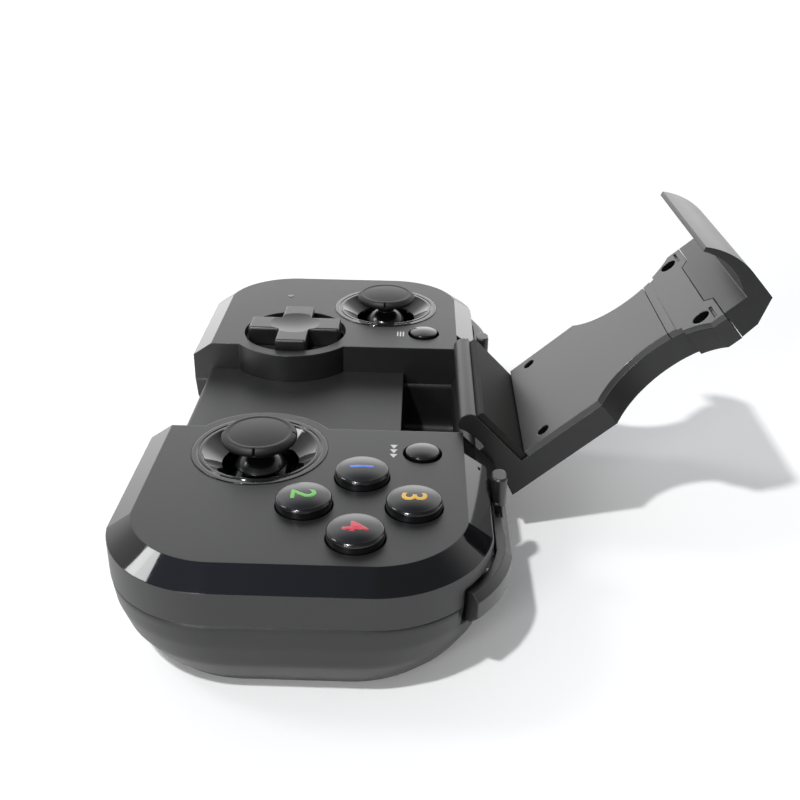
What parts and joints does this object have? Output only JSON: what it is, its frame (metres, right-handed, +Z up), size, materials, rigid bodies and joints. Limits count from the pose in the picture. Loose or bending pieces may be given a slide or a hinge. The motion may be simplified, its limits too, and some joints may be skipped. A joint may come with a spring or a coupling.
{
  "type": "mobile game controller",
  "caption": "Game controller with thumb sticks, direction pad, face buttons, bumpers and triggers, and a folding sprung clamp that holds a phone above its deck.",
  "frame": {"origin": "centre of the flat underside", "axes": "+X to the user's right, +Y forward, away from the user, +Z up"},
  "size_m": [0.1516, 0.1281, 0.069],
  "materials": {
    "body_plastic": "fine matte moulded shell with glossy bevels",
    "deck_plastic": "fine matte moulded deck",
    "trim_gloss": "polished black trim",
    "control_plastic": "satin black controls",
    "soft_rubber": "soft black rubber",
    "arm_cover": "matte dark grey cover",
    "steel": "plain steel",
    "board": "solder-masked board",
    "cell_wrap": "wrapped battery cell",
    "membrane": "grey silicone",
    "inner_plastic": "plain inner moulding",
    "light_lens": "clear light guide"
  },
  "bodies": {
    "housing": {"lower_shell": "body_plastic", "right_top_cover": "body_plastic", "left_top_cover": "body_plastic", "centre_deck": "deck_plastic", "right_stick_ring": "trim_gloss", "left_stick_ring": "trim_gloss", "right_stick_bracket": "steel", "left_stick_bracket": "steel", "dpad_bracket": "inner_plastic", "dpad_membrane": "membrane", "face_button_membrane": "membrane", "small_button_switches": "inner_plastic", "bumper_switches": "inner_plastic", "trigger_switches": "inner_plastic", "trigger_pins": "steel", "trigger_springs": "steel", "bumper_pins": "steel", "main_board": "board", "right_board": "board", "left_board": "board", "battery": "cell_wrap", "charging_socket": "steel", "indicator_light": "light_lens", "case_screws": "steel", "hinge_pin": "steel", "hinge_bushes": "inner_plastic"},
    "right_gimbal": {"right_stick_gimbal": "inner_plastic"},
    "right_stick": {"right_stick_stem": "control_plastic", "right_stick_cap": "soft_rubber"},
    "left_gimbal": {"left_stick_gimbal": "inner_plastic"},
    "left_stick": {"left_stick_stem": "control_plastic", "left_stick_cap": "soft_rubber"},
    "pad_gimbal": {"dpad_pivot": "inner_plastic"},
    "pad": {"dpad": "control_plastic"},
    "button_1": {"face_button_1": "control_plastic"},
    "button_2": {"face_button_2": "control_plastic"},
    "button_3": {"face_button_3": "control_plastic"},
    "button_4": {"face_button_4": "control_plastic"},
    "start": {"start_button": "control_plastic"},
    "select": {"select_button": "control_plastic"},
    "right_bumper": {"right_bumper": "trim_gloss"},
    "left_bumper": {"left_bumper": "trim_gloss"},
    "right_trigger": {"right_trigger": "body_plastic"},
    "left_trigger": {"left_trigger": "body_plastic"},
    "clamp": {"clamp_housing": "body_plastic", "jaw_pad": "soft_rubber", "front_cover": "arm_cover", "end_cover": "arm_cover", "hook_springs": "steel", "clamp_screws": "steel"},
    "hook": {"hook": "body_plastic", "hook_slider": "inner_plastic"}
  },
  "joints": [
    {"name": "right_stick_pitch", "type": "hinge", "parent": "housing", "child": "right_gimbal", "pos_m": [0.0315, -0.0109, 0.0205], "axis": [1, 0, 0], "range_deg": [-13, 13], "stiffness_Nm_per_rad": 0.03},
    {"name": "right_stick_roll", "type": "hinge", "parent": "right_gimbal", "child": "right_stick", "pos_m": [0.0315, -0.0109, 0.0205], "axis": [0, 1, 0], "range_deg": [-13, 13], "stiffness_Nm_per_rad": 0.03},
    {"name": "left_stick_pitch", "type": "hinge", "parent": "housing", "child": "left_gimbal", "pos_m": [-0.0495, 0.0122, 0.0205], "axis": [1, 0, 0], "range_deg": [-13, 13], "stiffness_Nm_per_rad": 0.03},
    {"name": "left_stick_roll", "type": "hinge", "parent": "left_gimbal", "child": "left_stick", "pos_m": [-0.0495, 0.0122, 0.0205], "axis": [0, 1, 0], "range_deg": [-13, 13], "stiffness_Nm_per_rad": 0.03},
    {"name": "pad_pitch", "type": "hinge", "parent": "housing", "child": "pad_gimbal", "pos_m": [-0.0315, -0.0109, 0.021], "axis": [1, 0, 0], "range_deg": [-5, 5], "stiffness_Nm_per_rad": 0.1},
    {"name": "pad_roll", "type": "hinge", "parent": "pad_gimbal", "child": "pad", "pos_m": [-0.0315, -0.0109, 0.021], "axis": [0, 1, 0], "range_deg": [-5, 5], "stiffness_Nm_per_rad": 0.1},
    {"name": "button_1_press", "type": "slide", "parent": "housing", "child": "button_1", "axis": [0, 0, -1], "range_m": [0, 0.0012], "stiffness_N_per_m": 600, "springref_m": -0.0003},
    {"name": "button_2_press", "type": "slide", "parent": "housing", "child": "button_2", "axis": [0, 0, -1], "range_m": [0, 0.0012], "stiffness_N_per_m": 600, "springref_m": -0.0003},
    {"name": "button_3_press", "type": "slide", "parent": "housing", "child": "button_3", "axis": [0, 0, -1], "range_m": [0, 0.0012], "stiffness_N_per_m": 600, "springref_m": -0.0003},
    {"name": "button_4_press", "type": "slide", "parent": "housing", "child": "button_4", "axis": [0, 0, -1], "range_m": [0, 0.0012], "stiffness_N_per_m": 600, "springref_m": -0.0003},
    {"name": "start_press", "type": "slide", "parent": "housing", "child": "start", "axis": [0, 0, -1], "range_m": [0, 0.0006], "stiffness_N_per_m": 1200, "springref_m": -0.0003},
    {"name": "select_press", "type": "slide", "parent": "housing", "child": "select", "axis": [0, 0, -1], "range_m": [0, 0.0006], "stiffness_N_per_m": 1200, "springref_m": -0.0003},
    {"name": "right_bumper_press", "type": "hinge", "parent": "housing", "child": "right_bumper", "pos_m": [0.0335, 0.034, 0.022], "axis": [0, 0, -1], "range_deg": [0, 2.3], "stiffness_Nm_per_rad": 0.4, "springref_deg": -1.15},
    {"name": "left_bumper_press", "type": "hinge", "parent": "housing", "child": "left_bumper", "pos_m": [-0.0335, 0.034, 0.022], "axis": [0, 0, 1], "range_deg": [0, 2.3], "stiffness_Nm_per_rad": 0.4, "springref_deg": -1.15},
    {"name": "right_trigger_pull", "type": "hinge", "parent": "housing", "child": "right_trigger", "pos_m": [0.0357, 0.03845, 0.016], "axis": [0, 0, -1], "range_deg": [0, 3.5], "stiffness_Nm_per_rad": 0.4, "springref_deg": -1.15},
    {"name": "left_trigger_pull", "type": "hinge", "parent": "housing", "child": "left_trigger", "pos_m": [-0.0357, 0.03845, 0.016], "axis": [0, 0, 1], "range_deg": [0, 3.5], "stiffness_Nm_per_rad": 0.4, "springref_deg": -1.15},
    {"name": "clamp_fold", "type": "hinge", "parent": "housing", "child": "clamp", "pos_m": [0, 0.03445, 0.017], "axis": [1, 0, 0], "range_deg": [0, 138.5]},
    {"name": "hook_slide", "type": "slide", "parent": "clamp", "child": "hook", "axis": [0, 0.749, 0.6626], "range_m": [0, 0.025], "stiffness_N_per_m": 60, "springref_m": -0.05}
  ]
}
